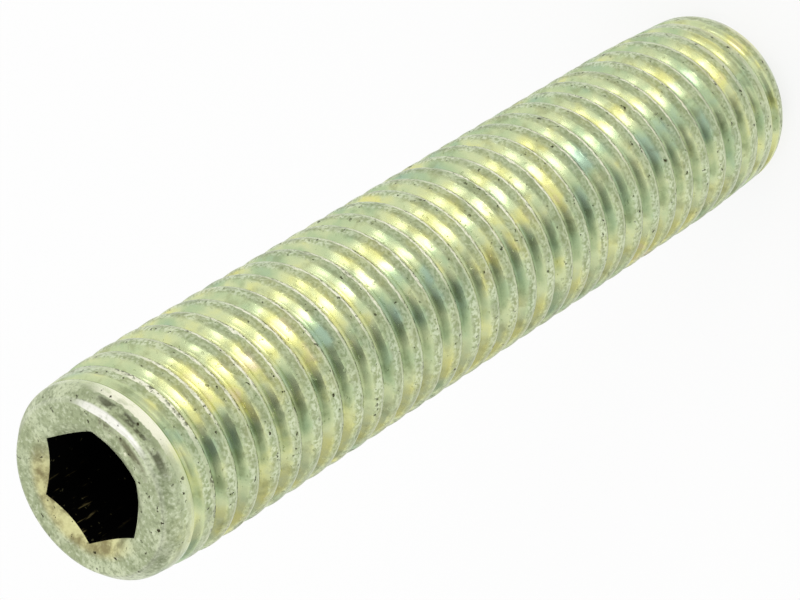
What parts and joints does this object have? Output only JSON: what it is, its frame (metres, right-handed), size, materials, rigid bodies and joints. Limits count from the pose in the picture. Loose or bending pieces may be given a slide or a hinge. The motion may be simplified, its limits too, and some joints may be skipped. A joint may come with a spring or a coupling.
{
  "type": "wear pad bolt",
  "caption": "Hexagon socket set screw with a flat point and a full-length right-hand thread, for setting and locking a wear pad.",
  "frame": {"origin": "centre of the flat point's face, which the screw stands on", "axes": "+Z along the screw's axis from the point to the socket, +X through a corner of the hexagon"},
  "size_m": [0.01, 0.01, 0.05],
  "materials": {
    "zinc_plating": "yellow-green chromate over zinc plating, smooth in the thread's roots and pitted on its crests"
  },
  "bodies": {
    "root": {"set_screw": "zinc_plating"}
  },
  "joints": []
}
